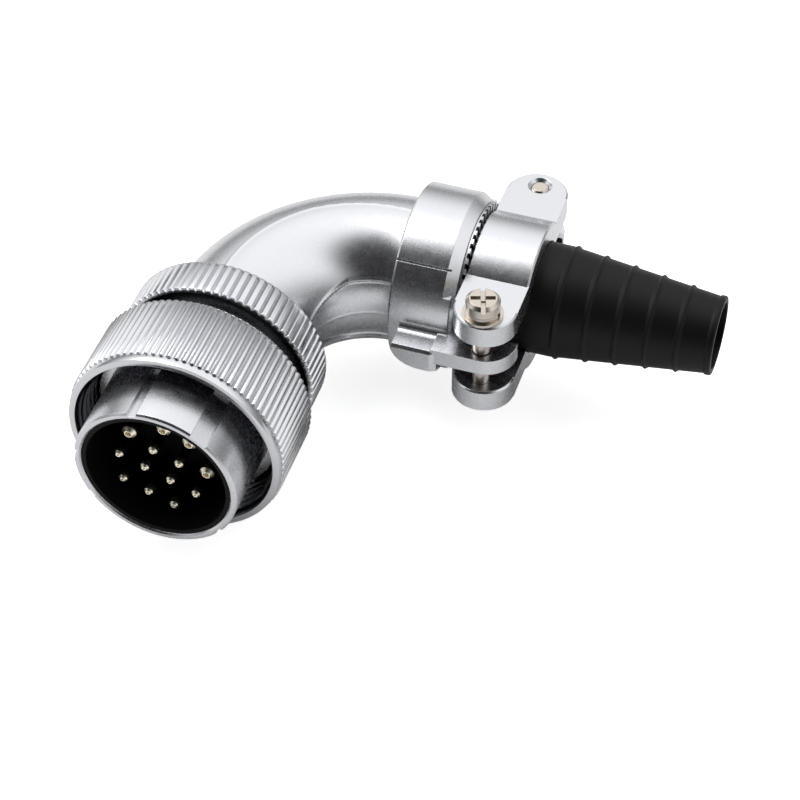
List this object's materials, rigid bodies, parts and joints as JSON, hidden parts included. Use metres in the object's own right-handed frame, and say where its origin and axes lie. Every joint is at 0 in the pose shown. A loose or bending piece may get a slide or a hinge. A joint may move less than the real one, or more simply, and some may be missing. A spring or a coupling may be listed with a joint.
{
  "type": "right-angle circular cable plug",
  "caption": "Right-angle circular cable plug with keyed barrel, knurled coupling nut, cast elbow, two-saddle clamp and ribbed boot.",
  "frame": {"origin": "centre of the barrel's front rim, on the mating axis", "axes": "-Y along the mating axis, out of the barrel; +X along the cable's way out; +Z square to both, up when the plug lies flat"},
  "size_m": [0.0957, 0.0802, 0.037],
  "materials": {
    "plated_casting": "satin nickel-chrome plate on a zinc die casting",
    "plated_knurled": "satin plate on a knurled turning",
    "plated_turned": "satin plate on a turned piece",
    "plated_bright": "bright plate",
    "spring_steel": "oiled spring steel",
    "screw_nickel": "nickel plate",
    "contact_gold": "gold flash on turned brass",
    "insert_black": "moulded thermoplastic",
    "seal_rubber": "moulded rubber",
    "boot_rubber": "moulded rubber, low sheen"
  },
  "bodies": {
    "housing": {"plug_shell": "plated_casting", "front_insert": "insert_black", "rear_insert": "insert_black", "insert_ring": "plated_turned", "large_pin_1": "contact_gold", "large_pin_2": "contact_gold", "large_pin_3": "contact_gold", "large_pin_4": "contact_gold", "small_pin_1": "contact_gold", "small_pin_2": "contact_gold", "small_pin_3": "contact_gold", "small_pin_4": "contact_gold", "small_pin_5": "contact_gold", "small_pin_6": "contact_gold", "small_pin_7": "contact_gold", "small_pin_8": "contact_gold", "small_pin_9": "contact_gold", "disc_spring": "spring_steel", "slip_ring": "plated_bright", "snap_ring": "spring_steel", "elbow_gasket": "seal_rubber", "elbow": "plated_casting", "clamp_collar": "plated_casting", "serrated_washer": "plated_turned", "boot": "boot_rubber"},
    "coupling_nut": {"coupling_nut": "plated_knurled"},
    "union_slide": {"union_washer": "plated_bright"},
    "union_ring": {"union_ring": "plated_knurled"},
    "upper_saddle": {"upper_saddle": "plated_casting", "near_plain_washer": "screw_nickel", "near_spring_washer": "screw_nickel"},
    "lower_saddle": {"lower_saddle": "plated_casting", "far_plain_washer": "screw_nickel", "far_spring_washer": "screw_nickel"},
    "near_screw": {"near_screw": "screw_nickel"},
    "far_screw": {"far_screw": "screw_nickel"}
  },
  "joints": [
    {"name": "coupling_nut_turn", "type": "hinge", "parent": "housing", "child": "coupling_nut", "pos_m": [0, 0.015, 0], "axis": [0, 1, 0], "continuous": true},
    {"name": "union_travel", "type": "slide", "parent": "housing", "child": "union_slide", "axis": [0, 1, 0], "range_m": [0, 0.00151]},
    {"name": "union_ring_turn", "type": "hinge", "parent": "union_slide", "child": "union_ring", "pos_m": [0, 0.03, 0], "axis": [0, 1, 0], "range_deg": [0, 540]},
    {"name": "upper_saddle_lift", "type": "slide", "parent": "housing", "child": "upper_saddle", "axis": [0, 0, 1], "range_m": [0, 0.001]},
    {"name": "lower_saddle_drop", "type": "slide", "parent": "housing", "child": "lower_saddle", "axis": [0, 0, -1], "range_m": [0, 0.00101]},
    {"name": "near_screw_turn", "type": "hinge", "parent": "upper_saddle", "child": "near_screw", "pos_m": [0.04085, 0.0426, 0.0125], "axis": [0, 0, 1], "range_deg": [0, 1441]},
    {"name": "far_screw_turn", "type": "hinge", "parent": "lower_saddle", "child": "far_screw", "pos_m": [0.04085, 0.0768, -0.0125], "axis": [0, 0, -1], "range_deg": [0, 1441]}
  ],
  "couplings": [
    {"joint": "union_travel", "follows": "union_ring_turn", "m_per_rad": 0.00015915},
    {"joint": "lower_saddle_drop", "follows": "upper_saddle_lift", "ratio": 1}
  ]
}
